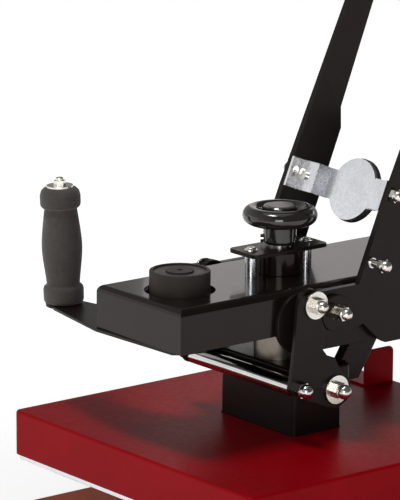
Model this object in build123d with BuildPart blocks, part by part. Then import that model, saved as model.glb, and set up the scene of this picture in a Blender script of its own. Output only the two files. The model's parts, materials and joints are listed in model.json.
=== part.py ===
from build123d import *
import math
import os

# Swing-away heat press. Millimetres, +Z up, +X to the operator's right,
# +Y away from the operator. Origin: centre of the footprint, on the table.

# ---------------------------------------------------------------- driving sizes
RAM_Y = -75.0          # ram axis, measured from the origin along Y
ZB = 380.0             # top face of the swing beam above the table
POST_Y = 285.0         # post axis behind the ram axis

BEAM_HW = 67.0         # half width of the beam
BEAM_H = 44.0          # height of the beam
BEAM_T = 4.0           # sheet thickness
BEAM_FRONT = -176.5    # front face of the beam, from the ram axis
BEAM_REAR = 330.0      # rear face of the beam, from the ram axis

BY, BZ = 2.0, -26.0    # main pivot of the lever, from ram axis / beam top
AY, AZ = -25.5, -13.5  # crank pin
CY, CZ = 2.0, -103.0   # lower pivot of the links
LEVER_OPEN = 67.0      # lean of the open arms, degrees from +Y
LEVER_TURN = 113.0     # lever travel, degrees
STROKE = 46.8          # platen travel

BRK_X = (67.0, 72.0)   # side bracket layer
LEV_X = (73.0, 80.0)   # lever plate layer
LNK_X = (81.2, 86.2)   # link layer

PLATEN = 380.0         # side of the square platens
COVER_TOP = -153.0     # top of the platen cover, from the beam top
COVER_H = 46.0
PLATE_FACE = -205.0    # underside of the heated plate, open
PAD_GAP = 0.2          # gap left at the pad when closed

ARMATURE_ALONG = 125.0  # disc centre along the arm, from the main pivot
ARMATURE_PERP = 46.4    # contact face, square to the arm

POST_R = 30.0
FOOT_H = 18.0
RAIL = 40.0
RAIL_X = 130.0

PB_Z = FOOT_H + RAIL    # top of the rails
BOLT_XY = [(sx * RAIL_X, RAM_Y + y) for sx in (-1, 1) for y in (-55, 55, POST_Y - 63, POST_Y + 33)]

os.makedirs("parts", exist_ok=True)

ca, sa = math.cos(math.radians(LEVER_OPEN)), math.sin(math.radians(LEVER_OPEN))


def yz(*pts):
    """Points given from the ram axis and the beam top, as sketch points on Plane.YZ."""
    return [(RAM_Y + p[0], ZB + p[1]) for p in pts]


def arm(along, perp):
    """A point of the open arm: distance along it and square to it, from the main pivot."""
    return (BY + ca * along + sa * perp, BZ + sa * along - ca * perp)


def at(y, z):
    return (RAM_Y + y, ZB + z)


# ================================================================ base (fixed)
# Four tapered rubber feet.
with BuildPart() as feet:
    with BuildSketch(Plane.XY):
        with Locations(*[(sx * RAIL_X, RAM_Y + y) for sx in (-1, 1) for y in (-150, 310)]):
            Circle(19)
    extrude(amount=FOOT_H, taper=6)
feet.part.label = "feet"
export_step(feet.part, "parts/feet.step")

# Two long rails of square tube.
with BuildPart() as base_rails:
    with BuildSketch(Plane.XZ.offset(-(RAM_Y - 180))):
        with Locations((-RAIL_X, FOOT_H + RAIL / 2), (RAIL_X, FOOT_H + RAIL / 2)):
            RectangleRounded(RAIL, RAIL, 4)
            Rectangle(RAIL - 5, RAIL - 5, mode=Mode.SUBTRACT)
    extrude(amount=-516)
    with BuildSketch(Plane.XY.offset(FOOT_H + RAIL - 3)):
        with Locations(*BOLT_XY):
            Circle(5.1)
    extrude(amount=4, mode=Mode.SUBTRACT)
base_rails.part.label = "base_rails"
export_step(base_rails.part, "parts/base_rails.step")

# Cross members between the rails, front and rear.
with BuildPart() as base_cross_members:
    with BuildSketch(Plane.YZ.offset(-(RAIL_X - RAIL / 2))):
        with Locations((RAM_Y - 150, FOOT_H + RAIL / 2), (RAM_Y + 314, FOOT_H + RAIL / 2)):
            RectangleRounded(RAIL, RAIL - 2, 4)
            Rectangle(RAIL - 5, RAIL - 7, mode=Mode.SUBTRACT)
    extrude(amount=2 * RAIL_X - RAIL)
base_cross_members.part.label = "base_cross_members"
export_step(base_cross_members.part, "parts/base_cross_members.step")

# Plastic plugs that close the rail ends.
with BuildPart() as rail_end_caps:
    with BuildSketch(Plane.XZ.offset(-(RAM_Y - 180))):
        with Locations((-RAIL_X, FOOT_H + RAIL / 2), (RAIL_X, FOOT_H + RAIL / 2)):
            RectangleRounded(RAIL - 1, RAIL - 1, 4)
    extrude(amount=4)
    with BuildSketch(Plane.XZ.offset(-(RAM_Y + 336))):
        with Locations((-RAIL_X, FOOT_H + RAIL / 2), (RAIL_X, FOOT_H + RAIL / 2)):
            RectangleRounded(RAIL - 1, RAIL - 1, 4)
    extrude(amount=-4)
rail_end_caps.part.label = "rail_end_caps"
export_step(rail_end_caps.part, "parts/rail_end_caps.step")

# Table stand: bridge plate, box column and the cross under the lower platen, welded.
TABLE_Z = PB_Z + 26
with BuildPart() as table_stand:
    with BuildSketch(Plane.XY.offset(PB_Z)):
        with Locations((0, RAM_Y)):
            RectangleRounded(300, 150, 8)
    extrude(amount=10)
    with BuildSketch(Plane.XY.offset(PB_Z + 10)):
        with Locations((0, RAM_Y)):
            RectangleRounded(140, 110, 6)
    extrude(amount=16)
    with BuildSketch(Plane.XY.offset(TABLE_Z)):
        with Locations((0, RAM_Y)):
            Rectangle(320, 60)
            Rectangle(60, 320)
    extrude(amount=24)
    with BuildSketch(Plane.XY.offset(PB_Z)):
        with Locations(*[(sx * RAIL_X, RAM_Y + y) for sx in (-1, 1) for y in (-55, 55)]):
            Circle(5.1)
    extrude(amount=10, mode=Mode.SUBTRACT)
    with BuildSketch(Plane.XY.offset(TABLE_Z + 4)):
        with Locations((0, RAM_Y)):
            Rectangle(330, 52)
            Rectangle(52, 330)
    extrude(amount=16, mode=Mode.SUBTRACT)
    with BuildSketch(Plane.XY.offset(PB_Z + 10)):
        with Locations((0, RAM_Y)):
            Rectangle(128, 98)
    extrude(amount=16, mode=Mode.SUBTRACT)
table_stand.part.label = "table_stand"
export_step(table_stand.part, "parts/table_stand.step")

# Lower platen, a flat aluminium plate.
with BuildPart() as lower_platen:
    with BuildSketch(Plane.XY.offset(TABLE_Z + 24)):
        with Locations((0, RAM_Y)):
            RectangleRounded(PLATEN, PLATEN, 8)
    extrude(amount=12)
lower_platen.part.label = "lower_platen"
export_step(lower_platen.part, "parts/lower_platen.step")

# Silicone sponge pad on the lower platen.
PAD_TOP = ZB + PLATE_FACE - STROKE - PAD_GAP
with BuildPart() as silicone_pad:
    with BuildSketch(Plane.XY.offset(TABLE_Z + 36)):
        with Locations((0, RAM_Y)):
            RectangleRounded(PLATEN - 4, PLATEN - 4, 6)
    extrude(amount=PAD_TOP - (TABLE_Z + 36))
    edge = silicone_pad.edges().group_by(Axis.Z)[-1]
    chamfer(edge, 1.2)
silicone_pad.part.label = "silicone_pad"
export_step(silicone_pad.part, "parts/silicone_pad.step")

# Plate and socket that hold the post on the rails.
with BuildPart() as post_socket:
    with BuildSketch(Plane.XY.offset(PB_Z)):
        with Locations((0, RAM_Y + POST_Y - 15)):
            RectangleRounded(300, 130, 10)
    extrude(amount=10)
    with BuildSketch(Plane.XY.offset(PB_Z + 10)):
        with Locations((0, RAM_Y + POST_Y)):
            Circle(POST_R + 9)
    extrude(amount=90)
    for sx in (-1, 1):
        with BuildSketch(Plane.XZ.offset(-(RAM_Y + POST_Y - 4))):
            with BuildLine():
                Polyline((sx * (POST_R + 6), PB_Z + 10), (sx * 110, PB_Z + 10),
                         (sx * 110, PB_Z + 16), (sx * (POST_R + 6), PB_Z + 90), close=True)
            make_face()
        extrude(amount=-8)
    with BuildSketch(Plane.YZ.offset(-4)):
        with BuildLine():
            Polyline((RAM_Y + POST_Y - POST_R - 6, PB_Z + 10), (RAM_Y + POST_Y - 75, PB_Z + 10),
                     (RAM_Y + POST_Y - 75, PB_Z + 14), (RAM_Y + POST_Y - POST_R - 6, PB_Z + 90), close=True)
        make_face()
    extrude(amount=8)
    with BuildSketch(Plane.XY.offset(PB_Z + 10)):
        with Locations((0, RAM_Y + POST_Y)):
            Circle(POST_R)
    extrude(amount=90, mode=Mode.SUBTRACT)
    with BuildSketch(Plane.XY.offset(PB_Z)):
        with Locations(*[(sx * RAIL_X, RAM_Y + POST_Y - 15 + y) for sx in (-1, 1) for y in (-48, 48)]):
            Circle(5.1)
    extrude(amount=10, mode=Mode.SUBTRACT)
post_socket.part.label = "post_socket"
export_step(post_socket.part, "parts/post_socket.step")

# Hexagon bolts: stand and post plate to the rails, and the one in the post's top.
with BuildPart() as base_bolts:
    for (bx, by) in BOLT_XY:
        with BuildSketch(Plane.XY.offset(PB_Z + 10)):
            with Locations((bx, by)):
                RegularPolygon(9.2, 6)
        extrude(amount=6.4)
        with BuildSketch(Plane.XY.offset(PB_Z - 6)):
            with Locations((bx, by)):
                Circle(5)
        extrude(amount=16.5)
    with BuildSketch(Plane.XY.offset(ZB + 14)):
        with Locations((0, RAM_Y + POST_Y)):
            RegularPolygon(9.2, 6)
    extrude(amount=6.4)
    with BuildSketch(Plane.XY.offset(ZB + 14.2)):
        with Locations((0, RAM_Y + POST_Y)):
            Circle(5)
    extrude(amount=-40)
base_bolts.part.label = "base_bolts"
export_step(base_bolts.part, "parts/base_bolts.step")

# Post: ground steel tube with a turned shoulder that carries the head.
with BuildPart() as post:
    with BuildSketch(Plane.XY.offset(PB_Z + 10)):
        with Locations((0, RAM_Y + POST_Y)):
            Circle(POST_R)
    extrude(amount=ZB + 6 - (PB_Z + 10))
    with BuildSketch(Plane.XY.offset(ZB - 128)):
        with Locations((0, RAM_Y + POST_Y)):
            Circle(POST_R + 12)
    extrude(amount=17.8)
    with BuildSketch(Plane.XY.offset(ZB + 6)):
        with Locations((0, RAM_Y + POST_Y)):
            Circle(5.1)
    extrude(amount=-40, mode=Mode.SUBTRACT)
    with BuildSketch(Plane.XY.offset(PB_Z + 10)):
        with Locations((0, RAM_Y + POST_Y)):
            Circle(22)
    extrude(amount=ZB - 40 - (PB_Z + 10), mode=Mode.SUBTRACT)
post.part.label = "post"
export_step(post.part, "parts/post.step")

# Cap that keeps the head on the post.
with BuildPart() as post_cap:
    with BuildSketch(Plane.XY.offset(ZB + 6)):
        with Locations((0, RAM_Y + POST_Y)):
            Circle(POST_R + 12)
    extrude(amount=8)
    chamfer(post_cap.edges().group_by(Axis.Z)[-1], 2)
    with BuildSketch(Plane.XY.offset(ZB + 6)):
        with Locations((0, RAM_Y + POST_Y)):
            Circle(5.4)
    extrude(amount=8, mode=Mode.SUBTRACT)
post_cap.part.label = "post_cap"
export_step(post_cap.part, "parts/post_cap.step")

# ================================================================ swing head
# Beam: folded sheet box, open underneath, front and rear closed.
MAG_Y = -125.5
with BuildPart() as beam:
    with BuildSketch(Plane.XY.offset(ZB - BEAM_H)):
        with Locations((0, RAM_Y + (BEAM_FRONT + BEAM_REAR) / 2)):
            Rectangle(2 * BEAM_HW, BEAM_REAR - BEAM_FRONT)
    extrude(amount=BEAM_H)
    top_edges = beam.edges().group_by(Axis.Z)[-1]
    fillet(top_edges, 7.5)
    with BuildSketch(Plane.XY.offset(ZB - BEAM_H)):
        with Locations((0, RAM_Y + (BEAM_FRONT + BEAM_REAR) / 2)):
            Rectangle(2 * (BEAM_HW - BEAM_T), BEAM_REAR - BEAM_FRONT - 2 * BEAM_T)
    extrude(amount=BEAM_H - BEAM_T, mode=Mode.SUBTRACT)
    with BuildSketch(Plane.XY.offset(ZB - BEAM_T - 1)):
        with Locations((0, RAM_Y + MAG_Y)):
            Circle(35)
        with Locations((0, RAM_Y)):
            Circle(20.5)
        with Locations((0, RAM_Y + POST_Y)):
            Circle(POST_R + 0.6)
    extrude(amount=BEAM_T + 2, mode=Mode.SUBTRACT)
    with BuildSketch(Plane.YZ.offset(-BEAM_HW - 1)):
        with Locations(at(BY, BZ)):
            Circle(12.2)
    extrude(amount=2 * BEAM_HW + 2, mode=Mode.SUBTRACT)
    # welded strap that carries the electromagnet
    with BuildSketch(Plane.XY.offset(ZB - 40)):
        with Locations((0, RAM_Y + MAG_Y)):
            Rectangle(2 * BEAM_HW - BEAM_T, 50)
    extrude(amount=4)
beam.part.label = "beam"
export_step(beam.part, "parts/beam.step")

# Sleeve that turns on the post.
with BuildPart() as post_sleeve:
    with BuildSketch(Plane.XY.offset(ZB - 110)):
        with Locations((0, RAM_Y + POST_Y)):
            Circle(POST_R + 9)
            Circle(POST_R + 4, mode=Mode.SUBTRACT)
    extrude(amount=110 - BEAM_T)
post_sleeve.part.label = "post_sleeve"
export_step(post_sleeve.part, "parts/post_sleeve.step")

# Two bearing bushes pressed into the sleeve.
with BuildPart() as post_bushes:
    for z in (ZB - 110, ZB - BEAM_T - 34):
        with BuildSketch(Plane.XY.offset(z)):
            with Locations((0, RAM_Y + POST_Y)):
                Circle(POST_R + 4)
                Circle(POST_R + 0.06, mode=Mode.SUBTRACT)
        extrude(amount=34)
post_bushes.part.label = "post_bushes"
export_step(post_bushes.part, "parts/post_bushes.step")

# Side brackets welded to the beam, one each side.
with BuildPart() as side_brackets:
    with BuildSketch(Plane.YZ.offset(BRK_X[0])):
        with BuildLine():
            l1 = Polyline(*yz((-30, -65), (60, -65), (110, -61.5), (110, -9), (40, -9), (-6, -3), (-30, -3)))
            ThreePointArc(*yz((-30, -3), (-61, -34), (-30, -65)))
        make_face()
        with Locations(at(BY, BZ)):
            Circle(12.2, mode=Mode.SUBTRACT)
    extrude(amount=BRK_X[1] - BRK_X[0])
    mirror(about=Plane.YZ)
side_brackets.part.label = "side_brackets"
export_step(side_brackets.part, "parts/side_brackets.step")

# Main pivot: shaft and round hub, one each side.
with BuildPart() as main_pivots:
    with BuildSketch(Plane.YZ.offset(60)):
        with Locations(at(BY, BZ)):
            Circle(12)
    extrude(amount=20.6)
    with BuildSketch(Plane.YZ.offset(80.6)):
        with Locations(at(BY, BZ)):
            Circle(18)
    extrude(amount=5.6)
    mirror(about=Plane.YZ)
main_pivots.part.label = "main_pivots"
export_step(main_pivots.part, "parts/main_pivots.step")

# Clamp studs of the hubs, each with two nuts and a domed nut.
SY, SZ = -4.0, -22.0
with BuildPart() as hub_studs:
    with BuildSketch(Plane.YZ.offset(86.2)):
        with Locations(at(SY, SZ)):
            Circle(3.9)
    extrude(amount=18)
    for x0 in (86.4, 93.8):
        with BuildSketch(Plane.YZ.offset(x0)):
            with Locations(at(SY, SZ)):
                RegularPolygon(7.4, 6)
        extrude(amount=6.6)
    with BuildSketch(Plane.YZ.offset(101)):
        with Locations(at(SY, SZ)):
            RegularPolygon(7.4, 6)
    extrude(amount=5.2)
    with BuildSketch(Plane.YZ.offset(106.2)):
        with Locations(at(SY, SZ)):
            Circle(5.8)
    extrude(amount=7.4)
    fillet(hub_studs.edges().filter_by(GeomType.CIRCLE).group_by(Axis.X)[-1], 5.4)
    mirror(about=Plane.YZ)
hub_studs.part.label = "hub_studs"
export_step(hub_studs.part, "parts/hub_studs.step")

# Guide bush for the ram stem, flanged under the beam's top sheet.
with BuildPart() as guide_bush:
    with BuildSketch(Plane.XY.offset(ZB - BEAM_H)):
        with Locations((0, RAM_Y)):
            Circle(29)
            Circle(20.05, mode=Mode.SUBTRACT)
    extrude(amount=BEAM_H - BEAM_T)
    with BuildSketch(Plane.XY.offset(ZB - BEAM_T - 6)):
        with Locations((0, RAM_Y)):
            Circle(40)
            Circle(25, mode=Mode.SUBTRACT)
    extrude(amount=6)
guide_bush.part.label = "guide_bush"
export_step(guide_bush.part, "parts/guide_bush.step")

# Short guide tube on the beam, under the knob plate.
with BuildPart() as guide_tube:
    with BuildSketch(Plane.XY.offset(ZB)):
        with Locations((0, RAM_Y)):
            Circle(23.8)
            Circle(20.6, mode=Mode.SUBTRACT)
    extrude(amount=22.6)
guide_tube.part.label = "guide_tube"
export_step(guide_tube.part, "parts/guide_tube.step")

# Two standoffs.
STAND = (-36.5, 33.5)
with BuildPart() as standoffs:
    with BuildSketch(Plane.XY.offset(ZB)):
        with Locations((0, RAM_Y + STAND[0]), (0, RAM_Y + STAND[1])):
            Circle(6)
    extrude(amount=22.6)
standoffs.part.label = "standoffs"
export_step(standoffs.part, "parts/standoffs.step")

# Knob plate with the screw's bore.
with BuildPart() as knob_plate:
    with BuildSketch(Plane.XY.offset(ZB + 22.6)):
        with Locations((0, RAM_Y + sum(STAND) / 2)):
            RectangleRounded(44, 95, 7)
        with Locations((0, RAM_Y)):
            Circle(6.06, mode=Mode.SUBTRACT)
        with Locations((0, RAM_Y + STAND[0]), (0, RAM_Y + STAND[1])):
            Circle(3.2, mode=Mode.SUBTRACT)
    extrude(amount=4)
    chamfer(knob_plate.edges().group_by(Axis.Z)[-1].filter_by(GeomType.LINE), 0.6)
knob_plate.part.label = "knob_plate"
export_step(knob_plate.part, "parts/knob_plate.step")

# Low round-head screws and washers of the knob plate.
with BuildPart() as knob_plate_screws:
    for y in STAND:
        with BuildSketch(Plane.XY.offset(ZB + 26.6)):
            with Locations((0, RAM_Y + y)):
                Circle(7)
        extrude(amount=0.8)
        with BuildSketch(Plane.XY.offset(ZB + 27.4)):
            with Locations((0, RAM_Y + y)):
                Circle(5.2)
        extrude(amount=2.2, taper=24)
        with BuildSketch(Plane.XY.offset(ZB + 22.6)):
            with Locations((0, RAM_Y + y)):
                Circle(3)
        extrude(amount=4.5)
        with BuildSketch(Plane.XY.offset(ZB + 29.6)):
            with Locations((0, RAM_Y + y)):
                RegularPolygon(2.3, 6)
        extrude(amount=-1.5, mode=Mode.SUBTRACT)
knob_plate_screws.part.label = "knob_plate_screws"
export_step(knob_plate_screws.part, "parts/knob_plate_screws.step")

# Electromagnet: pot body with a ring groove and a centre pole.
with BuildPart() as electromagnet_body:
    with BuildSketch(Plane.XY.offset(ZB - 36)):
        with Locations((0, RAM_Y + MAG_Y)):
            Circle(30)
    extrude(amount=56)
    chamfer(electromagnet_body.edges().group_by(Axis.Z)[-1], 0.8)
    with BuildSketch(Plane.XY.offset(ZB + 20)):
        with Locations((0, RAM_Y + MAG_Y)):
            Circle(26)
            Circle(14, mode=Mode.SUBTRACT)
    extrude(amount=-34, mode=Mode.SUBTRACT)
    with BuildSketch(Plane.XY.offset(ZB + 20)):
        with Locations((0, RAM_Y + MAG_Y)):
            Circle(2.6)
    extrude(amount=-8, mode=Mode.SUBTRACT)
electromagnet_body.part.label = "electromagnet_body"
export_step(electromagnet_body.part, "parts/electromagnet_body.step")

# Resin-filled coil ring in the groove.
with BuildPart() as electromagnet_coil:
    with BuildSketch(Plane.XY.offset(ZB - 14)):
        with Locations((0, RAM_Y + MAG_Y)):
            Circle(26)
            Circle(14, mode=Mode.SUBTRACT)
    extrude(amount=32.6)
electromagnet_coil.part.label = "electromagnet_coil"
export_step(electromagnet_coil.part, "parts/electromagnet_coil.step")

# Flat bracket under the beam's front, tapering out to the swing grip.
GX, GY = -167.1, -142.8
TILT = Axis((-167.1, -217.8, 336.0), (0.785, -0.620, 0))   # the grip leans outwards a little
with BuildPart() as swing_bracket:
    with BuildSketch(Plane.XY.offset(ZB - BEAM_H - 3)):
        with BuildLine():
            Polyline((-158, RAM_Y - 163), (-64, RAM_Y - 180), (52, RAM_Y - 175.5), (58, RAM_Y - 168),
                     (64, RAM_Y - 142), (-64, RAM_Y - 104), (-172, RAM_Y - 126), close=True)
        make_face()
        with Locations((GX, RAM_Y + GY)):
            Circle(18.5)
        with Locations((GX, RAM_Y + GY)):
            Circle(4.6, mode=Mode.SUBTRACT)
    extrude(amount=3)
swing_bracket.part.label = "swing_bracket"
export_step(swing_bracket.part, "parts/swing_bracket.step")

# Foam swing grip: waisted body between two collars.
with BuildPart() as swing_grip:
    with BuildSketch(Plane.XZ):
        with BuildLine():
            Polyline((4.2, 0), (17.4, 0), (19.4, 1.2), (20.3, 3.4), (20.4, 14.0), (19.8, 16.4), (18.6, 17.8), (16.6, 18.8))
            Spline((16.6, 18.8), (18.7, 37), (20.4, 56), (19.0, 77), (16.4, 97.4))
            Polyline((16.4, 97.4), (18.6, 98.2), (20.0, 99.8), (20.5, 102.6), (20.5, 110.6), (19.2, 115), (16.6, 117.6),
                     (13.4, 118.6), (4.2, 118.6), (4.2, 0))
        make_face()
    revolve(axis=Axis.Z)
swing_grip.part.label = "swing_grip"
swing_grip.part.locate(Location((GX, RAM_Y + GY, ZB - BEAM_H + 0.7)))
export_step(swing_grip.part.rotate(TILT, 1.8), "parts/swing_grip.step")

# Long bolt of the swing grip, its head under the bracket.
with BuildPart() as swing_grip_bolt:
    with BuildSketch(Plane.XY.offset(ZB - BEAM_H - 3.3)):
        with Locations((GX, RAM_Y + GY)):
            RegularPolygon(7.4, 6)
    extrude(amount=-5.3)
    with BuildSketch(Plane.XY.offset(ZB - BEAM_H - 3.3)):
        with Locations((GX, RAM_Y + GY)):
            Circle(4)
    extrude(amount=132.4)
    fillet(swing_grip_bolt.edges().group_by(Axis.Z)[-1], 1)
swing_grip_bolt.part.label = "swing_grip_bolt"
export_step(swing_grip_bolt.part.rotate(TILT, 1.8), "parts/swing_grip_bolt.step")

# Washer and flange nut on the grip's top.
GT = ZB - BEAM_H + 119.3
with BuildPart() as swing_grip_nut:
    with BuildSketch(Plane.XY.offset(GT)):
        with Locations((GX, RAM_Y + GY)):
            Circle(13.5)
            Circle(4, mode=Mode.SUBTRACT)
    extrude(amount=2)
    with BuildSketch(Plane.XY.offset(GT + 2)):
        with Locations((GX, RAM_Y + GY)):
            RegularPolygon(6.2, 6)
            Circle(4, mode=Mode.SUBTRACT)
    extrude(amount=5)
swing_grip_nut.part.label = "swing_grip_nut"
export_step(swing_grip_nut.part.rotate(TILT, 1.8), "parts/swing_grip_nut.step")

# Control box on the beam, in front of the post, its face leaning back.
BOX_X, BOX_TOP = 62.0, 104.0
F0, F1 = 200.0, 216.0          # front face at its foot and at its top, behind the ram axis
LEAN = math.degrees(math.atan2(F1 - F0, BOX_TOP))
with BuildPart() as control_box:
    with BuildSketch(Plane.YZ.offset(-BOX_X)):
        with BuildLine():
            Polyline(*yz((F0, 0), (240, 0), (240, BOX_TOP), (F1, BOX_TOP)), close=True)
        make_face()
    extrude(amount=2 * BOX_X)
    fillet(control_box.edges().filter_by(Axis.X).group_by(Axis.Z)[-1], 4)
    with BuildSketch(Plane.YZ.offset(-BOX_X + 2)):
        with BuildLine():
            Polyline(*yz((F0 + 2.4, 0), (238, 0), (238, BOX_TOP - 2.4), (F1 + 2, BOX_TOP - 2.4)), close=True)
        make_face()
    extrude(amount=2 * BOX_X - 4, mode=Mode.SUBTRACT)
control_box.part.label = "control_box"
export_step(control_box.part, "parts/control_box.step")

# Panel frame: x along the panel, y up the slope, z out towards the operator.
PANEL = Plane(origin=(0, RAM_Y + (F0 + F1) / 2, ZB + BOX_TOP / 2), x_dir=(1, 0, 0),
              z_dir=(0, -math.cos(math.radians(LEAN)), math.sin(math.radians(LEAN))))
KEY_X = (-30.0, 0.0, 30.0)
KEY_Y = -12.0
with BuildPart() as control_panel:
    with BuildSketch(PANEL):
        RectangleRounded(112, 92, 5)
        with Locations(*[(x, KEY_Y) for x in KEY_X]):
            Circle(7.4, mode=Mode.SUBTRACT)
        with Locations((0, -34)):
            Rectangle(21.6, 13.6, mode=Mode.SUBTRACT)
        with Locations((0, 22)):
            RectangleRounded(76, 30, 2, mode=Mode.SUBTRACT)
    extrude(amount=3)
control_panel.part.label = "control_panel"
export_step(control_panel.part, "parts/control_panel.step")

with BuildPart() as display_window:
    with BuildSketch(PANEL):
        with Locations((0, 22)):
            RectangleRounded(76, 30, 2)
    extrude(amount=2.6)
display_window.part.label = "display_window"
export_step(display_window.part, "parts/display_window.step")

# Three keys, each pressed straight in.
with BuildPart() as key_left:
    with BuildSketch(PANEL.offset(1.4)):
        with Locations((KEY_X[0], KEY_Y)):
            Circle(7)
    extrude(amount=4)
key_left.part.label = "key_left"
export_step(key_left.part, "parts/key_left.step")

with BuildPart() as key_middle:
    with BuildSketch(PANEL.offset(1.4)):
        with Locations((KEY_X[1], KEY_Y)):
            Circle(7)
    extrude(amount=4)
key_middle.part.label = "key_middle"
export_step(key_middle.part, "parts/key_middle.step")

with BuildPart() as key_right:
    with BuildSketch(PANEL.offset(1.4)):
        with Locations((KEY_X[2], KEY_Y)):
            Circle(7)
    extrude(amount=4)
key_right.part.label = "key_right"
export_step(key_right.part, "parts/key_right.step")

# Rocker switch: a wedge-faced paddle on a cross axis.
with BuildPart() as power_rocker:
    with BuildSketch(Plane(origin=(-10, RAM_Y + (F0 + F1) / 2, ZB + BOX_TOP / 2), x_dir=PANEL.y_dir, z_dir=(1, 0, 0))):
        with BuildLine():
            Polyline((-34 - 5.6, 1.2), (-34 + 5.6, 1.2), (-34 + 5.8, 3.6), (-34, 5.2), (-34 - 5.4, 6.0), close=True)
        make_face()
    extrude(amount=20)
power_rocker.part.label = "power_rocker"
export_step(power_rocker.part, "parts/power_rocker.step")

# Power inlet on the back of the box: a shrouded three-pin socket.
with BuildPart() as power_inlet:
    with BuildSketch(Plane.XZ.offset(-(RAM_Y + 240))):
        with Locations((38, ZB + 30)):
            RectangleRounded(30, 23, 3)
    extrude(amount=-5)
    with BuildSketch(Plane.XZ.offset(-(RAM_Y + 245))):
        with Locations((38, ZB + 30)):
            RectangleRounded(23, 16, 2)
    extrude(amount=4.2, mode=Mode.SUBTRACT)
power_inlet.part.label = "power_inlet"
export_step(power_inlet.part, "parts/power_inlet.step")

# ================================================================ press head
# Ram: hollow, with a stem that slides in the guide bush.
with BuildPart() as ram:
    with BuildSketch(Plane.XY.offset(ZB - 85)):
        with Locations((0, RAM_Y)):
            Circle(25)
    extrude(amount=39)
    with BuildSketch(Plane.XY.offset(ZB - 46)):
        with Locations((0, RAM_Y)):
            Circle(20)
    extrude(amount=64.5)
    with BuildSketch(Plane.XY.offset(ZB - 82)):
        with Locations((0, RAM_Y)):
            Circle(14)
    extrude(amount=95.5, mode=Mode.SUBTRACT)
    with BuildSketch(Plane.XY.offset(ZB + 13.5)):
        with Locations((0, RAM_Y)):
            Circle(6.5)
    extrude(amount=6, mode=Mode.SUBTRACT)
ram.part.label = "ram"
export_step(ram.part, "parts/ram.step")

# Yoke: block under the ram, cross bosses for the lower shaft, neck through the cover.
with BuildPart() as yoke:
    with BuildSketch(Plane.XY.offset(ZB - 106)):
        with Locations((0, RAM_Y + 3)):
            RectangleRounded(140, 66, 6)
    extrude(amount=21)
    fillet(yoke.edges().group_by(Axis.Z)[-1], 3)
    with BuildSketch(Plane.YZ.offset(-72)):
        with Locations(at(CY, CZ)):
            Circle(15)
    extrude(amount=144)
    with BuildSketch(Plane.XY.offset(ZB - 183)):
        with Locations((0, RAM_Y + 3)):
            RectangleRounded(116, 62, 5)
            Rectangle(104, 50, mode=Mode.SUBTRACT)
    extrude(amount=78)
    with BuildSketch(Plane.YZ.offset(-73)):
        with Locations(at(CY, CZ)):
            Circle(8)
    extrude(amount=146, mode=Mode.SUBTRACT)
yoke.part.label = "yoke"
export_step(yoke.part, "parts/yoke.step")

with BuildPart() as lower_shaft:
    with BuildSketch(Plane.YZ.offset(-75)):
        with Locations(at(CY, CZ)):
            Circle(7.97)
    extrude(amount=150)
    chamfer(lower_shaft.edges().filter_by(GeomType.CIRCLE), 1)
lower_shaft.part.label = "lower_shaft"
export_step(lower_shaft.part, "parts/lower_shaft.step")

# Sloping struts behind the yoke; their tops run between the beam's side walls.
with BuildPart() as yoke_struts:
    with BuildSketch(Plane.YZ.offset(48)):
        with BuildLine():
            Polyline(*yz((30.7, -85), (36, -85), (36, -106), (54.3, -106), (113, -14), (76.2, -14)), close=True)
        make_face()
    extrude(amount=12)
    mirror(about=Plane.YZ)
yoke_struts.part.label = "yoke_struts"
export_step(yoke_struts.part, "parts/yoke_struts.step")

# Red sheet-steel cover over the heated plate.
with BuildPart() as platen_cover:
    with BuildSketch(Plane.XY.offset(ZB + COVER_TOP - COVER_H)):
        with Locations((0, RAM_Y)):
            RectangleRounded(PLATEN, PLATEN, 7)
    extrude(amount=COVER_H)
    fillet(platen_cover.edges().group_by(Axis.Z)[-1], 3)
    with BuildSketch(Plane.XY.offset(ZB + COVER_TOP - COVER_H)):
        with Locations((0, RAM_Y)):
            RectangleRounded(PLATEN - 4, PLATEN - 4, 5.5)
    extrude(amount=COVER_H - 2, mode=Mode.SUBTRACT)
    with BuildSketch(Plane.XY.offset(ZB + COVER_TOP - 3)):
        with Locations((0, RAM_Y + 3)):
            RectangleRounded(118, 64, 6)
    extrude(amount=5, mode=Mode.SUBTRACT)
platen_cover.part.label = "platen_cover"
export_step(platen_cover.part, "parts/platen_cover.step")

# Insulation board between cover and plate, split round the neck.
with BuildPart() as insulation_board:
    with BuildSketch(Plane.XY.offset(ZB - 183)):
        with Locations((0, RAM_Y)):
            Rectangle(368, 368)
        with Locations((0, RAM_Y + 3)):
            Rectangle(118, 64, mode=Mode.SUBTRACT)
    extrude(amount=20)
insulation_board.part.label = "insulation_board"
export_step(insulation_board.part, "parts/insulation_board.step")

# Heated plate, cast aluminium.
with BuildPart() as heated_plate:
    with BuildSketch(Plane.XY.offset(ZB + PLATE_FACE)):
        with Locations((0, RAM_Y)):
            RectangleRounded(374, 374, 5)
    extrude(amount=22)
    chamfer(heated_plate.edges().group_by(Axis.Z)[0], 1)
heated_plate.part.label = "heated_plate"
export_step(heated_plate.part, "parts/heated_plate.step")

# Screws along the cover's rim.
with BuildPart() as cover_screws:
    for sx in (-1, 1):
        for y in (-120, 0, 120):
            with BuildSketch(Plane.YZ.offset(sx * PLATEN / 2)):
                with Locations(at(y, PLATE_FACE + 14)):
                    Circle(4)
            extrude(amount=sx * 2.4)
cover_screws.part.label = "cover_screws"
export_step(cover_screws.part, "parts/cover_screws.step")

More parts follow.
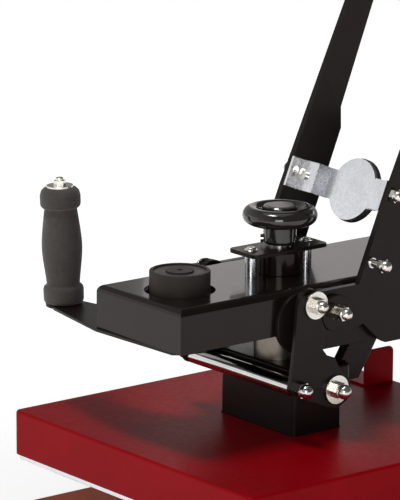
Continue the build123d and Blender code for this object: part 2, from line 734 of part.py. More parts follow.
# Upright bracket on the cover, behind the ram.
with BuildPart() as cover_bracket:
    with BuildSketch(Plane.YZ.offset(-41)):
        with BuildLine():
            Polyline(*yz((148, COVER_TOP), (187, COVER_TOP), (187, -114.7), (148, -114.7)), close=True)
        make_face()
        fillet(vertices().group_by(Axis.Y)[-1], 6)
    extrude(amount=2.5)
    with BuildSketch(Plane.XY.offset(ZB + COVER_TOP)):
        with Locations((-52, RAM_Y + 167.5)):
            Rectangle(22.2, 39)
    extrude(amount=2.5)
cover_bracket.part.label = "cover_bracket"
export_step(cover_bracket.part, "parts/cover_bracket.step")

# ================================================================ lever
AB = arm(128.0, 28.2)   # bolts of the armature's flanges
SB = arm(58.4, 28.5)    # long studs low on the arms
with BuildPart() as lever_plates:
    with BuildSketch(Plane.YZ.offset(LEV_X[0])):
        with BuildLine():
            Polyline(*yz((-36, -25), (-31, -5), (-20, -3), (35.7, -3), arm(50, 22), arm(110, 22), arm(200, 25), arm(398, 32),
                         arm(398, 58), arm(205, 63), arm(185, 72), arm(62, 73), (112, -26), (112, -67.7),
                         (71, -67.7), (61, -62), (42, -44), (16, -49), (-10, -48)), close=True)
        make_face()
        with Locations(at(AY, AZ)):
            Circle(14.4)
        with Locations(at(BY, BZ)):
            Circle(12.06, mode=Mode.SUBTRACT)
        with Locations(at(AY, AZ), at(*arm(385, 44))):
            Circle(6, mode=Mode.SUBTRACT)
        with Locations(at(*AB), at(*SB)):
            Circle(4, mode=Mode.SUBTRACT)
    extrude(amount=LEV_X[1] - LEV_X[0])
    mirror(about=Plane.YZ)
lever_plates.part.label = "lever_plates"
export_step(lever_plates.part, "parts/lever_plates.step")

# Crossbar of the lever with its foam grip and end screws.
HB = arm(385, 44)
with BuildPart() as lever_bar:
    with BuildSketch(Plane.YZ.offset(-LEV_X[0])):
        with Locations(at(*HB)):
            Circle(12)
            Circle(6, mode=Mode.SUBTRACT)
    extrude(amount=2 * LEV_X[0])
lever_bar.part.label = "lever_bar"
export_step(lever_bar.part, "parts/lever_bar.step")

with BuildPart() as lever_grip:
    with BuildSketch(Plane.YZ.offset(-64)):
        with Locations(at(*HB)):
            Circle(18)
            Circle(12, mode=Mode.SUBTRACT)
    extrude(amount=128)
    fillet(lever_grip.edges().filter_by(GeomType.CIRCLE).group_by(SortBy.RADIUS)[-1], 4)
lever_grip.part.label = "lever_grip"
export_step(lever_grip.part, "parts/lever_grip.step")

with BuildPart() as lever_bar_screws:
    with BuildSketch(Plane.YZ.offset(LEV_X[0] - 18)):
        with Locations(at(*HB)):
            Circle(6)
    extrude(amount=18 + LEV_X[1] - LEV_X[0])
    with BuildSketch(Plane.YZ.offset(LEV_X[1])):
        with Locations(at(*HB)):
            Circle(9.5)
    extrude(amount=5)
    with BuildSketch(Plane.YZ.offset(LEV_X[1] + 5)):
        with Locations(at(*HB)):
            RegularPolygon(4.2, 6)
    extrude(amount=-3.5, mode=Mode.SUBTRACT)
    mirror(about=Plane.YZ)
lever_bar_screws.part.label = "lever_bar_screws"
export_step(lever_bar_screws.part, "parts/lever_bar_screws.step")

# Armature plate in the open pose: disc and neck, stepped forwards at both ends and folded on to the arms.
AC = arm(ARMATURE_ALONG, ARMATURE_PERP)
ARM_PL = Plane(origin=(0, RAM_Y + AC[0], ZB + AC[1]), x_dir=(1, 0, 0), z_dir=(0, sa, -ca))
SIDE_PL = Plane(origin=(0, RAM_Y + AC[0], ZB + AC[1]), x_dir=(1, 0, 0), z_dir=(0, -ca, -sa))
with BuildPart() as armature_plate:
    with BuildSketch(ARM_PL):
        Circle(32)
        Rectangle(76, 31)
    extrude(amount=3)
    for sx in (-1, 1):
        with BuildSketch(SIDE_PL.offset(-15.5)):
            with BuildLine():
                Polyline((sx * 36, 0), (sx * 36, -3), (sx * 40, -3), (sx * 45, 10.4), (sx * 73, 10.4), (sx * 73, 25),
                         (sx * 70, 25), (sx * 70, 13.4), (sx * 43, 13.4), (sx * 38, 0), close=True)
            make_face()
        extrude(amount=31)
    with BuildSketch(Plane.YZ.offset(-80)):
        with Locations(at(*AB)):
            Circle(4)
    extrude(amount=160, mode=Mode.SUBTRACT)
    with BuildSketch(ARM_PL.offset(-14)):
        with Locations((-59.5, 0), (59.5, 0)):
            Circle(3)
    extrude(amount=6, mode=Mode.SUBTRACT)
armature_plate.part.label = "armature_plate"
export_step(armature_plate.part, "parts/armature_plate.step")

# Black backing disc behind the armature.
with BuildPart() as armature_backing:
    with BuildSketch(ARM_PL.offset(3)):
        Circle(33)
    extrude(amount=6)
    chamfer(armature_backing.edges().filter_by(GeomType.CIRCLE), 0.8)
armature_backing.part.label = "armature_backing"
export_step(armature_backing.part, "parts/armature_backing.step")

# Bolts of the lever plates with domed nuts outside: armature flanges, and long studs low down.
with BuildPart() as lever_bolts:
    with BuildSketch(Plane.YZ.offset(69.7)):
        with Locations(at(*AB)):
            Circle(3.95)
    extrude(amount=16.3)
    with BuildSketch(Plane.YZ.offset(LEV_X[0])):
        with Locations(at(*SB)):
            Circle(3.95)
    extrude(amount=24)
    with BuildSketch(Plane.YZ.offset(LEV_X[1] + 0.2)):
        with Locations(at(*SB)):
            Circle(5.2)
    extrude(amount=2)
    for (py, pz, x0) in ((AB[0], AB[1], LEV_X[1] + 1.5), (SB[0], SB[1], LEV_X[1] + 15)):
        with BuildSketch(Plane.YZ.offset(x0)):
            with Locations(at(py, pz)):
                RegularPolygon(7.2, 6)
        extrude(amount=5)
        with BuildSketch(Plane.YZ.offset(x0 + 5)):
            with Locations(at(py, pz)):
                Circle(6.3)
        extrude(amount=7.4)
    fillet(lever_bolts.edges().filter_by(GeomType.CIRCLE).filter_by(lambda e: abs(e.radius - 6.3) < 0.01 and (abs(e.center().X - (LEV_X[1] + 13.9)) < 0.01 or abs(e.center().X - (LEV_X[1] + 27.4)) < 0.01)), 5.8)
    # the left arm has low round heads outside
    with BuildSketch(Plane.YZ.offset(-69.7)):
        with Locations(at(*AB)):
            Circle(3.95)
    extrude(amount=-12.3)
    with BuildSketch(Plane.YZ.offset(-LEV_X[0])):
        with Locations(at(*SB)):
            Circle(3.95)
    extrude(amount=-9)
    with BuildSketch(Plane.YZ.offset(-LEV_X[1] - 0.1)):
        with Locations(at(*AB), at(*SB)):
            Circle(6.6)
    extrude(amount=-2.6, taper=20)
    # screws through the stepped ends of the armature plate
    for sx in (-1, 1):
        with BuildSketch(ARM_PL.offset(-15.8)):
            with Locations((sx * 59.5, 0)):
                Circle(4.6)
        extrude(amount=2.4)
        with BuildSketch(ARM_PL.offset(-13.4)):
            with Locations((sx * 59.5, 0)):
                Circle(2.95)
        extrude(amount=8)
        with BuildSketch(ARM_PL.offset(-10.4)):
            with Locations((sx * 59.5, 0)):
                RegularPolygon(5.4, 6)
        extrude(amount=4)
lever_bolts.part.label = "lever_bolts"
export_step(lever_bolts.part, "parts/lever_bolts.step")

# Crank pins with large washers and domed nuts.
with BuildPart() as crank_pins:
    with BuildSketch(Plane.YZ.offset(LEV_X[0])):
        with Locations(at(AY, AZ)):
            Circle(6)
    extrude(amount=18)
    with BuildSketch(Plane.YZ.offset(86.7)):
        with Locations(at(AY, AZ)):
            Circle(13.8)
    extrude(amount=2.2)
    with BuildSketch(Plane.YZ.offset(88.9)):
        with Locations(at(AY, AZ)):
            RegularPolygon(8.4, 6)
    extrude(amount=7)
    with Locations((95.9 + 1.2, RAM_Y + AY, ZB + AZ)):
        Sphere(6.2)
    mirror(about=Plane.YZ)
crank_pins.part.label = "crank_pins"
export_step(crank_pins.part, "parts/crank_pins.step")

# ================================================================ toggle links
AB_R = math.hypot(AY - BY, AZ - BZ)
TO_B = math.degrees(math.atan2(BZ - AZ, BY - AY))      # towards the main pivot, open
SWEEP = 129.7                                          # turn of the main pivot round the crank pin
RY, RZ = -44.0, -95.5                                  # front tie rod


def round_a(deg, r):
    return at(AY + r * math.cos(math.radians(deg)), AZ + r * math.sin(math.radians(deg)))


with BuildPart() as toggle_links:
    with BuildSketch(Plane.YZ.offset(LNK_X[0])):
        with BuildLine():
            Polyline(*yz((-43, -2.4), (-47.5, -12), (-51, -57), (-55, -86), (-57, -94), (-52, -102), (-38, -107),
                         (-8, -120), (4, -123), (16, -117), (22, -106), (20, -95), (8, -85), (0.6, -70.8),
                         (-9.6, -66.6), (-16, -58.7), (-10, -30), (-10, -2)), close=True)
        make_face()
        with BuildLine():
            ThreePointArc(round_a(TO_B, AB_R), round_a(TO_B + SWEEP / 2, AB_R), round_a(TO_B + SWEEP, AB_R))
        trace(line_width=37.8, mode=Mode.SUBTRACT)
        with Locations(round_a(TO_B, AB_R), round_a(TO_B + SWEEP, AB_R)):
            Circle(18.9, mode=Mode.SUBTRACT)
        with Locations(at(AY, AZ)):
            Circle(11.2)
            Circle(6.06, mode=Mode.SUBTRACT)
        with Locations(at(CY, CZ)):
            Circle(8, mode=Mode.SUBTRACT)
        with Locations(at(RY, RZ)):
            Circle(5, mode=Mode.SUBTRACT)
    extrude(amount=LNK_X[1] - LNK_X[0])
    mirror(about=Plane.YZ)
toggle_links.part.label = "toggle_links"
export_step(toggle_links.part, "parts/toggle_links.step")

# Polished tie rod between the links' front corners, with domed nuts outside.
with BuildPart() as tie_rod:
    with BuildSketch(Plane.YZ.offset(-LNK_X[0])):
        with Locations(at(RY, RZ)):
            Circle(9)
    extrude(amount=2 * LNK_X[0])
    with BuildSketch(Plane.YZ.offset(-96)):
        with Locations(at(RY, RZ)):
            Circle(4.9)
    extrude(amount=192)
    for sx in (-1, 1):
        with BuildSketch(Plane.YZ.offset(sx * LNK_X[1])):
            with Locations(at(RY, RZ)):
                RegularPolygon(8.2, 6)
        extrude(amount=sx * 7)
        with Locations((sx * (LNK_X[1] + 7 + 2.6), RAM_Y + RY, ZB + RZ)):
            Sphere(7.2)
tie_rod.part.label = "tie_rod"
export_step(tie_rod.part, "parts/tie_rod.step")

# Lower pins of the links, with large washers and domed nuts.
with BuildPart() as lower_pins:
    with BuildSketch(Plane.YZ.offset(77)):
        with Locations(at(CY, CZ)):
            Circle(8)
    extrude(amount=9.6)
    with BuildSketch(Plane.YZ.offset(86.6)):
        with Locations(at(CY, CZ)):
            Circle(14.4)
    extrude(amount=2.2)
    with BuildSketch(Plane.YZ.offset(88.8)):
        with Locations(at(CY, CZ)):
            RegularPolygon(8.4, 6)
    extrude(amount=7)
    with Locations((95.8 + 3.0, RAM_Y + CY, ZB + CZ)):
        Sphere(7.4)
    mirror(about=Plane.YZ)
lower_pins.part.label = "lower_pins"
export_step(lower_pins.part, "parts/lower_pins.step")

# ================================================================ pressure knob
# Round knob: thick rounded rim, dished top and a hub below.
with BuildPart() as pressure_knob:
    with BuildSketch(Plane.XZ):
        with BuildLine():
            Polyline((6, 28.4), (12.4, 28.4))
            ThreePointArc((12.4, 28.4), (15.3, 29.7), (16.3, 32.6))
            Polyline((16.3, 32.6), (16.6, 46.0))
            ThreePointArc((16.6, 46.0), (17.7, 48.6), (20.4, 49.4))
            Polyline((20.4, 49.4), (28.5, 48.6))
            ThreePointArc((28.5, 48.6), (37.5, 57.6), (28.5, 66.6))
            ThreePointArc((28.5, 66.6), (23.6, 65.2), (20.6, 61.6))
            ThreePointArc((20.6, 61.6), (19.0, 61.0), (17.6, 62.4))
            Polyline((17.6, 62.4), (17.0, 66.0), (15.8, 67.2), (14.4, 67.2), (14.4, 65.4), (6, 65.4), (6, 28.4))
        make_face()
    revolve(axis=Axis.Z)
    with BuildSketch(Plane(origin=(0, 0, 33.6), x_dir=(0, 0, 1), z_dir=(-0.62, -0.785, 0))):
        Circle(2.5)
    extrude(amount=20, mode=Mode.SUBTRACT)
pressure_knob.part.label = "pressure_knob"
pressure_knob.part.locate(Location((0, RAM_Y, ZB)))
export_step(pressure_knob.part, "parts/pressure_knob.step")

with BuildPart() as knob_cap:
    with BuildSketch(Plane.XY.offset(ZB + 65.4)):
        with Locations((0, RAM_Y)):
            Circle(14.2)
    extrude(amount=2.4)
    chamfer(knob_cap.edges().group_by(Axis.Z)[-1], 0.6)
knob_cap.part.label = "knob_cap"
export_step(knob_cap.part, "parts/knob_cap.step")

# Adjusting screw: shaft down into the ram, spring seat at its foot, nut under the hub.
with BuildPart() as adjusting_screw:
    with BuildSketch(Plane.XY.offset(ZB - 66)):
        with Locations((0, RAM_Y)):
            Circle(6)
    extrude(amount=126)
    with BuildSketch(Plane.XY.offset(ZB - 66)):
        with Locations((0, RAM_Y)):
            Circle(13.2)
    extrude(amount=6)
    with BuildSketch(Plane.XY.offset(ZB + 26.7)):
        with Locations((0, RAM_Y)):
            Circle(11.6)
    extrude(amount=1.6)
    with BuildSketch(Plane(origin=(0, RAM_Y, ZB + 33.6), x_dir=(0, 0, 1), z_dir=(-0.62, -0.785, 0))):
        Circle(2.5)
    extrude(amount=16.7)
    with BuildSketch(Plane(origin=(-0.62 * 16.6, RAM_Y - 0.785 * 16.6, ZB + 33.6), x_dir=(0, 0, 1), z_dir=(-0.62, -0.785, 0))):
        Circle(4.2)
    extrude(amount=2.6)
adjusting_screw.part.label = "adjusting_screw"
export_step(adjusting_screw.part, "parts/adjusting_screw.step")

# Opening spring between the screw's seat and the top of the ram.
with BuildPart() as opening_spring:
    with BuildLine():
        helix = Helix(pitch=10.0, height=70.0, radius=10.0, center=(0, RAM_Y, ZB - 58.3))
    with BuildSketch(Plane(origin=helix @ 0, z_dir=helix % 0)):
        Circle(1.4)
    sweep(is_frenet=True)
opening_spring.part.label = "opening_spring"
export_step(opening_spring.part, "parts/opening_spring.step")
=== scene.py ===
import bpy, bmesh, json, math
from mathutils import Vector, Matrix


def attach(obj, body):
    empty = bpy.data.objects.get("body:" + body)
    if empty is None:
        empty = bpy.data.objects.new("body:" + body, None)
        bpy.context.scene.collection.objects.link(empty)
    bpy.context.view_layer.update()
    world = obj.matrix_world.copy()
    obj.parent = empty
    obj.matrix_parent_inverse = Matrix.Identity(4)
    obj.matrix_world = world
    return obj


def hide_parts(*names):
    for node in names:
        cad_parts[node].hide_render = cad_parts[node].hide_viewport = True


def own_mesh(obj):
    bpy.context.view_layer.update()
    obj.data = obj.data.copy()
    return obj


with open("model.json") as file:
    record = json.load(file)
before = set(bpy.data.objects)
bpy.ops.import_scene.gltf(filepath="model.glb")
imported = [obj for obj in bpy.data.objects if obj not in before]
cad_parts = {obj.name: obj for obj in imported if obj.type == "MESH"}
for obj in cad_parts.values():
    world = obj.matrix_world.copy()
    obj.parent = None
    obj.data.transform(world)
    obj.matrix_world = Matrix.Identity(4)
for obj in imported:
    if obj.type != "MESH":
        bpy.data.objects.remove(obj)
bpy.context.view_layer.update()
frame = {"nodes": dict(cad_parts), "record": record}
NODES = frame["nodes"]
BODY = {n: b for b, ns in frame["record"]["behaviour"]["bodies"].items() for n in ns}

# ------------------------------------------------------------------ sizes shared with the CAD (metres)
RY, ZB = -0.075, 0.380                 # ram axis and beam top
BY, BZ = RY + 0.002, ZB - 0.026        # main pivot
AY, AZ = RY - 0.0255, ZB - 0.0135      # crank pin
CY, CZ = RY + 0.002, ZB - 0.103        # lower pin
TY, TZ = RY - 0.044, ZB - 0.0955       # tie rod
LEAN = math.radians(67.0)


def arm(along, perp):
    return (BY + math.cos(LEAN) * along + math.sin(LEAN) * perp,
            BZ + math.sin(LEAN) * along - math.cos(LEAN) * perp)


# ------------------------------------------------------------------ camera
AZ_, EL_, ROLL_ = math.radians(51.677), math.radians(13.46), math.radians(0.257)
DIST, FPX = 3.614, 3639.0
d = Vector((math.sin(AZ_) * math.cos(EL_), -math.cos(AZ_) * math.cos(EL_), math.sin(EL_)))
r0 = Vector((math.cos(AZ_), math.sin(AZ_), 0.0))
u0 = d.cross(r0)
R = math.cos(ROLL_) * r0 + math.sin(ROLL_) * u0
U = -math.sin(ROLL_) * r0 + math.cos(ROLL_) * u0
target = Vector((0, RY, ZB)) + R * (-79.4 / 1007.0) + U * (21.0 / 1007.0)
cam_data = bpy.data.cameras.new("camera")
cam = bpy.data.objects.new("camera", cam_data)
bpy.context.scene.collection.objects.link(cam)
M = Matrix((R, U, d)).transposed().to_4x4()
M.translation = target + d * DIST
cam.matrix_world = M
cam_data.sensor_fit = 'VERTICAL'
cam_data.sensor_height = 24.0
cam_data.lens = FPX / 500.0 * 24.0
cam_data.clip_end = 200
bpy.context.scene.camera = cam


# ------------------------------------------------------------------ materials
def new_mat(name):
    m = bpy.data.materials.new(name)
    m.use_nodes = True
    nt = m.node_tree
    b = nt.nodes["Principled BSDF"]
    return m, nt, b


def coords(nt, scale=(1, 1, 1)):
    tc = nt.nodes.new("ShaderNodeTexCoord")
    mp = nt.nodes.new("ShaderNodeMapping")
    mp.inputs["Scale"].default_value = scale
    nt.links.new(tc.outputs["Object"], mp.inputs["Vector"])
    return mp.outputs["Vector"]


def noise(nt, vec, scale, detail=4.0, rough=0.6):
    n = nt.nodes.new("ShaderNodeTexNoise")
    n.inputs["Scale"].default_value = scale
    n.inputs["Detail"].default_value = detail
    n.inputs["Roughness"].default_value = rough
    nt.links.new(vec, n.inputs["Vector"])
    return n.outputs["Fac"]


def maprange(nt, val, a, b, lo=0.3, hi=0.7):
    m = nt.nodes.new("ShaderNodeMapRange")
    m.inputs["From Min"].default_value = lo
    m.inputs["From Max"].default_value = hi
    m.inputs["To Min"].default_value = a
    m.inputs["To Max"].default_value = b
    nt.links.new(val, m.inputs["Value"])
    return m.outputs["Result"]


def mixcol(nt, fac, c1, c2):
    m = nt.nodes.new("ShaderNodeMix")
    m.data_type = 'RGBA'
    m.inputs["A"].default_value = (*c1, 1)
    m.inputs["B"].default_value = (*c2, 1)
    nt.links.new(fac, m.inputs["Factor"])
    return m.outputs["Result"]


def bump(nt, b, height, strength, dist, prev=None):
    n = nt.nodes.new("ShaderNodeBump")
    n.inputs["Strength"].default_value = strength
    n.inputs["Distance"].default_value = dist
    nt.links.new(height, n.inputs["Height"])
    if prev is not None:
        nt.links.new(prev, n.inputs["Normal"])
    nt.links.new(n.outputs["Normal"], b.inputs["Normal"])
    return n.outputs["Normal"]


def paint(name, c1, c2, rough, spread, peel=0.10, coat=0.0, coat_rough=0.1, spec=0.14, coat_ior=1.22, tint=(1.0, 0.88, 0.80, 1.0)):
    """Powder coat or enamel: slight tone drift, roughness drift, orange peel."""
    m, nt, b = new_mat(name)
    v = coords(nt)
    broad = noise(nt, v, 14, 3)
    nt.links.new(mixcol(nt, maprange(nt, broad, 0, 1), c1, c2), b.inputs["Base Color"])
    fine = noise(nt, v, 160, 5)
    nt.links.new(maprange(nt, fine, rough - spread, rough + spread), b.inputs["Roughness"])
    b.inputs["Specular IOR Level"].default_value = spec
    b.inputs["Specular Tint"].default_value = tint
    b.inputs["Coat Weight"].default_value = coat
    b.inputs["Coat Roughness"].default_value = coat_rough
    b.inputs["Coat IOR"].default_value = coat_ior
    bump(nt, b, noise(nt, v, 620, 2, 0.5), peel, 0.0004)
    return m


def metal(name, c1, c2, rough, spread, stretch=(1, 1, 1), grain=500, strength=0.05, aniso=0.0):
    """Plated or machined metal: tone drift, direction-stretched grain in roughness and bump."""
    m, nt, b = new_mat(name)
    v = coords(nt)
    broad = noise(nt, v, 45, 4)
    nt.links.new(mixcol(nt, maprange(nt, broad, 0, 1), c1, c2), b.inputs["Base Color"])
    b.inputs["Metallic"].default_value = 1.0
    vs = coords(nt, stretch)
    g = noise(nt, vs, grain, 4, 0.65)
    nt.links.new(maprange(nt, g, rough - spread, rough + spread), b.inputs["Roughness"])
    bump(nt, b, g, strength, 0.0002)
    b.inputs["Anisotropic"].default_value = aniso
    return m


def foam_mat(name, c1, c2):
    """Closed-cell foam: fine pores and a soft, dull surface."""
    m, nt, b = new_mat(name)
    v = coords(nt)
    broad = noise(nt, v, 60, 5)
    nt.links.new(mixcol(nt, maprange(nt, broad, 0, 1), c1, c2), b.inputs["Base Color"])
    nt.links.new(maprange(nt, noise(nt, v, 300, 3), 0.72, 0.95), b.inputs["Roughness"])
    vor = nt.nodes.new("ShaderNodeTexVoronoi")
    vor.inputs["Scale"].default_value = 1500
    nt.links.new(v, vor.inputs["Vector"])
    n1 = bump(nt, b, vor.outputs["Distance"], 0.35, 0.0004)
    bump(nt, b, noise(nt, v, 260, 4), 0.25, 0.0006, n1)
    b.inputs["Sheen Weight"].default_value = 0.15
    b.inputs["Sheen Roughness"].default_value = 0.5
    return m


def plastic(name, c1, c2, rough, spread, grain=900, strength=0.1, coat=0.0):
    m, nt, b = new_mat(name)
    v = coords(nt)
    nt.links.new(mixcol(nt, maprange(nt, noise(nt, v, 30, 3), 0, 1), c1, c2), b.inputs["Base Color"])
    nt.links.new(maprange(nt, noise(nt, v, 200, 4), rough - spread, rough + spread), b.inputs["Roughness"])
    bump(nt, b, noise(nt, v, grain, 3), strength, 0.0002)
    b.inputs["Coat Weight"].default_value = coat
    b.inputs["Coat Roughness"].default_value = 0.05
    return m


BLACK = paint("black_powder_coat", (0.0064, 0.0042, 0.0036), (0.0092, 0.0063, 0.0054), 0.36, 0.05, 0.10, 0.25, 0.16)
BLACK_BEAM = paint("black_beam_coat", (0.0062, 0.0038, 0.0028), (0.0090, 0.0057, 0.0043), 0.18, 0.04, 0.06, 0.7, 0.05)
BLACK_SATIN = paint("black_magnet_case", (0.026, 0.0225, 0.0198), (0.034, 0.0300, 0.0265), 0.46, 0.06, 0.12)
RED = paint("red_powder_coat", (0.215, 0.0002, 0.0028), (0.260, 0.0004, 0.0045), 0.42, 0.05, 0.08, 0.12, 0.22, 0.05, 1.22,
            (1.0, 0.55, 0.55, 1.0))
ZINC = metal("bright_zinc", (0.82, 0.835, 0.86), (0.70, 0.72, 0.76), 0.26, 0.08, (1, 1, 1), 260, 0.05)
# darker copy of the bright zinc: painted shade for the armature's folded legs
ZINC_PAINTED_SHADE = metal("zinc_painted_shade", (0.34, 0.335, 0.33), (0.22, 0.215, 0.21), 0.40, 0.10, (1, 1, 1), 260, 0.06)
STAINLESS = metal("stainless", (0.80, 0.77, 0.72), (0.68, 0.65, 0.60), 0.24, 0.07, (1, 1, 1), 700, 0.04)
GROUND = metal("ground_steel", (0.72, 0.66, 0.59), (0.62, 0.57, 0.51), 0.30, 0.07, (0.06, 0.06, 1), 2400, 0.08, 0.3)
CHROME = metal("chrome", (0.66, 0.65, 0.64), (0.56, 0.55, 0.54), 0.13, 0.04, (1, 1, 1), 300, 0.01)
ALU = metal("machined_aluminium", (0.80, 0.81, 0.83), (0.72, 0.73, 0.75), 0.34, 0.07, (1, 0.04, 1), 1500, 0.08)
BRONZE = metal("oiled_bronze", (0.62, 0.42, 0.20), (0.50, 0.33, 0.15), 0.32, 0.08, (1, 1, 0.1), 900, 0.05)
# turned steel with its colour darkened: painted shade for the ram shaded under the beam and reflecting the black beam
# and yoke around it
RAM_PAINTED_SHADE = metal("turned_ram_painted_shade", (0.23, 0.195, 0.165), (0.17, 0.145, 0.12), 0.34, 0.07, (0.06, 0.06, 1), 2400, 0.08, 0.3)
CAPM = plastic("knob_cap_plastic", (0.075, 0.066, 0.058), (0.095, 0.085, 0.075), 0.30, 0.05, 900, 0.08)
FOAM = foam_mat("black_foam", (0.037, 0.031, 0.026), (0.049, 0.041, 0.035))
RUBBER = plastic("black_rubber", (0.018, 0.018, 0.018), (0.026, 0.026, 0.026), 0.70, 0.10, 700, 0.2)
SILICONE = plastic("silicone_sponge", (0.40, 0.075, 0.030), (0.48, 0.095, 0.040), 0.72, 0.08, 1400, 0.35)
RESIN = plastic("cast_resin", (0.020, 0.018, 0.017), (0.030, 0.027, 0.026), 0.42, 0.08, 500, 0.15)
GLOSS = plastic("gloss_black_plastic", (0.0125, 0.0098, 0.0082), (0.0170, 0.0135, 0.0115), 0.12, 0.03, 120, 0.03, 0.3)
CASE = plastic("case_plastic", (0.024, 0.024, 0.026), (0.034, 0.034, 0.036), 0.50, 0.08, 1600, 0.25)
PANELM = plastic("panel_plastic", (0.055, 0.056, 0.06), (0.075, 0.076, 0.08), 0.42, 0.06, 1400, 0.2)
PALE = plastic("pale_plastic", (0.55, 0.55, 0.56), (0.62, 0.62, 0.63), 0.38, 0.06, 900, 0.1)
BOARD = plastic("fibre_board", (0.62, 0.58, 0.47), (0.70, 0.66, 0.55), 0.85, 0.05, 600, 0.3)

NODE_MAT = {
    "feet": RUBBER, "base_rails": BLACK, "base_cross_members": BLACK, "rail_end_caps": CASE, "table_stand": BLACK,
    "lower_platen": ALU, "silicone_pad": SILICONE, "post_socket": BLACK, "base_bolts": STAINLESS, "post": GROUND,
    "post_cap": BLACK, "beam": BLACK_BEAM, "post_sleeve": BLACK, "post_bushes": BRONZE, "side_brackets": BLACK,
    "main_pivots": BLACK, "hub_studs": STAINLESS, "guide_bush": BRONZE, "guide_tube": BLACK_BEAM, "standoffs": ZINC,
    "knob_plate": BLACK, "knob_plate_screws": STAINLESS, "electromagnet_body": BLACK_SATIN,
    "electromagnet_coil": RESIN, "swing_bracket": BLACK, "swing_grip": FOAM, "swing_grip_bolt": STAINLESS,
    "swing_grip_nut": STAINLESS, "control_box": CASE, "control_panel": PANELM, "display_window": GLOSS,
    "power_inlet": CASE, "ram": RAM_PAINTED_SHADE, "yoke": BLACK, "lower_shaft": GROUND, "yoke_struts": BLACK,
    "platen_cover": RED, "insulation_board": BOARD, "heated_plate": ALU, "cover_screws": STAINLESS,
    "cover_bracket": RED, "opening_spring": GROUND, "lever_plates": BLACK, "lever_bar": STAINLESS,
    "lever_grip": FOAM, "lever_bar_screws": STAINLESS, "armature_plate": ZINC, "armature_backing": BLACK_SATIN,
    "lever_bolts": STAINLESS, "crank_pins": STAINLESS, "toggle_links": BLACK, "tie_rod": CHROME,
    "lower_pins": STAINLESS, "pressure_knob": GLOSS, "knob_cap": CAPM, "adjusting_screw": STAINLESS,
    "key_left": PALE, "key_middle": PALE, "key_right": PALE, "power_rocker": GLOSS,
}
for n, o in NODES.items():
    o.data.materials.clear()
    o.data.materials.append(NODE_MAT[n])


# ------------------------------------------------------------------ CAD shapes with eased edges
def eased(node, width, segs=2, angle=35, mat=None):
    """The CAD piece again, with its sharp edges rounded as folding, cutting and coating leave them."""
    src = NODES[node]
    bm = bmesh.new()
    bm.from_mesh(src.data)
    bmesh.ops.remove_doubles(bm, verts=bm.verts, dist=2e-6)
    bmesh.ops.dissolve_limit(bm, angle_limit=math.radians(0.6), verts=bm.verts, edges=bm.edges)
    me = bpy.data.meshes.new(node + "_eased")
    bm.to_mesh(me)
    bm.free()
    ob = bpy.data.objects.new(node + "_eased", me)
    bpy.context.scene.collection.objects.link(ob)
    for p in me.polygons:
        p.use_smooth = True
    bv = ob.modifiers.new("edges", 'BEVEL')
    bv.width = width
    bv.segments = segs
    bv.limit_method = 'ANGLE'
    bv.angle_limit = math.radians(angle)
    bv.harden_normals = True
    bv.use_clamp_overlap = True
    wn = ob.modifiers.new("normals", 'WEIGHTED_NORMAL')
    wn.keep_sharp = True
    me.materials.append(mat or NODE_MAT[node])
    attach(ob, BODY[node])
    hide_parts(node)
    return ob


EASE = {
    "beam": 0.0008, "side_brackets": 0.0007, "swing_bracket": 0.0007, "lever_plates": 0.0008, "toggle_links": 0.0008,
    "armature_plate": 0.0005, "armature_backing": 0.0004, "knob_plate": 0.0006, "electromagnet_body": 0.0006,
    "main_pivots": 0.0006, "yoke": 0.0010, "yoke_struts": 0.0010, "cover_bracket": 0.0006, "guide_tube": 0.0006,
    "hub_studs": 0.0004, "lever_bolts": 0.0004, "crank_pins": 0.0005, "lower_pins": 0.0005, "tie_rod": 0.0004,
    "knob_plate_screws": 0.0004, "swing_grip_nut": 0.0003, "swing_grip_bolt": 0.0003, "platen_cover": 0.0006,
    "control_box": 0.0010, "control_panel": 0.0006, "key_left": 0.0007, "key_middle": 0.0007, "key_right": 0.0007,
    "power_rocker": 0.0006, "post_socket": 0.0012, "post_cap": 0.0006, "table_stand": 0.0010, "base_bolts": 0.0005,
    "lever_bar_screws": 0.0008, "heated_plate": 0.0006, "lower_platen": 0.0008, "knob_cap": 0.0004,
    "rail_end_caps": 0.0008, "feet": 0.0015, "cover_screws": 0.0008, "power_inlet": 0.0006, "display_window": 0.0003,
}
for n, w in EASE.items():
    eased(n, w)
# the armature's folded legs get a darker zinc than its face: painted shade, standing in for the dark arms and knob
# the legs face
arm_vis = bpy.data.objects["armature_plate_eased"]
arm_vis.data.materials.append(ZINC_PAINTED_SHADE)
for p in arm_vis.data.polygons:
    if abs(p.center.x) > 0.0698 and abs(p.normal.x) > 0.7:
        p.material_index = 1
for n, w in {"swing_grip": 0.0006, "lever_grip": 0.0006, "silicone_pad": 0.0012}.items():
    eased(n, w, 2, 50)
SOFT = ("swing_grip", "lever_grip", "silicone_pad", "opening_spring")
spring = eased("opening_spring", 0.0001, 1, 60)
for m in list(spring.modifiers):
    spring.modifiers.remove(m)
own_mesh(spring)
# the rest stay as they are, with rounded faces shaded smooth where the CAD curves
for n, o in NODES.items():
    if n not in EASE and n not in SOFT:
        for p in o.data.polygons:
            p.use_smooth = True
        o.data.set_sharp_from_angle(angle=math.radians(35)) if hasattr(o.data, "set_sharp_from_angle") else None

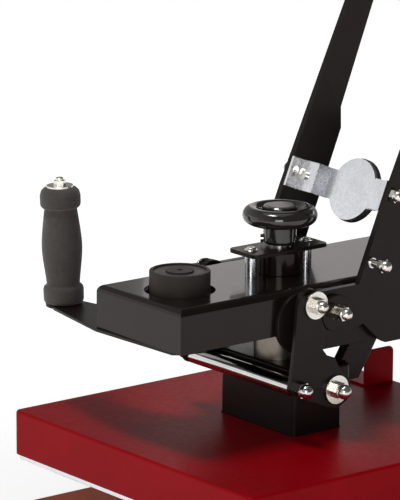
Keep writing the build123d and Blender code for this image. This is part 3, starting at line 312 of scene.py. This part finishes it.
# ------------------------------------------------------------------ floor and light
fm, fnt, fb = new_mat("floor")
fv = coords(fnt)
fnt.links.new(mixcol(fnt, maprange(fnt, noise(fnt, fv, 1.2, 2), 0, 1), (0.86, 0.86, 0.86), (0.90, 0.90, 0.90)), fb.inputs["Base Color"])
fb.inputs["Roughness"].default_value = 0.75
fb.inputs["Specular IOR Level"].default_value = 0.1
fb.inputs["Emission Color"].default_value = (1.0, 1.0, 1.0, 1)
fln = fnt.nodes.new("ShaderNodeVectorMath")
fln.operation = 'LENGTH'
fnt.links.new(fv, fln.inputs[0])
fnt.links.new(maprange(fnt, fln.outputs["Value"], 0.34, 0.75, 0.5, 2.0), fb.inputs["Emission Strength"])
bpy.ops.mesh.primitive_plane_add(size=60, location=(0, 0, 0))
floor = bpy.context.object
floor.name = "floor"
floor.data.materials.append(fm)

w = bpy.data.worlds.new("studio")
bpy.context.scene.world = w
w.use_nodes = True
wn_ = w.node_tree
bg = wn_.nodes["Background"]
bg.inputs["Color"].default_value = (1.0, 1.0, 1.0, 1)
# soft surround: brighter low on the operator's left, dim towards the ceiling
wtc = wn_.nodes.new("ShaderNodeTexCoord")
wdot = wn_.nodes.new("ShaderNodeVectorMath")
wdot.operation = 'DOT_PRODUCT'
wdot.inputs[1].default_value = (-0.62, -0.62, -0.48)
wn_.links.new(wtc.outputs["Generated"], wdot.inputs[0])
wmr = wn_.nodes.new("ShaderNodeMapRange")
wmr.inputs["From Min"].default_value = -0.3
wmr.inputs["From Max"].default_value = 0.8
wmr.inputs["To Min"].default_value = 0.10
wmr.inputs["To Max"].default_value = 0.62
wn_.links.new(wdot.outputs["Value"], wmr.inputs["Value"])
wn_.links.new(wmr.outputs["Result"], bg.inputs["Strength"])


def area(name, loc, aim, size, size_y, power, color=(1, 1, 1)):
    ld = bpy.data.lights.new(name, 'AREA')
    ld.shape = 'RECTANGLE'
    ld.size, ld.size_y = size, size_y
    ld.energy = power
    ld.color = color
    ob = bpy.data.objects.new(name, ld)
    bpy.context.scene.collection.objects.link(ob)
    ob.location = loc
    ob.rotation_euler = (Vector(aim) - Vector(loc)).to_track_quat('-Z', 'Y').to_euler()
    return ob


area("key_top", (-0.1, -0.95, 3.3), (-0.05, 0.0, 0.3), 0.8, 0.5, 40)
area("top_fill", (-0.3, -0.2, 3.7), (0, 0, 0), 2.6, 2.6, 14)
area("left_wall", (-2.8, -3.2, 1.15), (0, 0, 0.45), 3.2, 1.5, 8.2, (1.0, 0.985, 0.97))
area("right_fill", (2.6, -2.4, 1.1), (0, 0, 0.4), 1.4, 1.4, 34)
area("back_panel", (-1.037, 1.031, 0.78), (0.0, -0.1, 0.38), 0.78, 0.70, 1.0, (1.0, 0.955, 0.93))

bpy.context.scene.view_settings.view_transform = 'Standard'
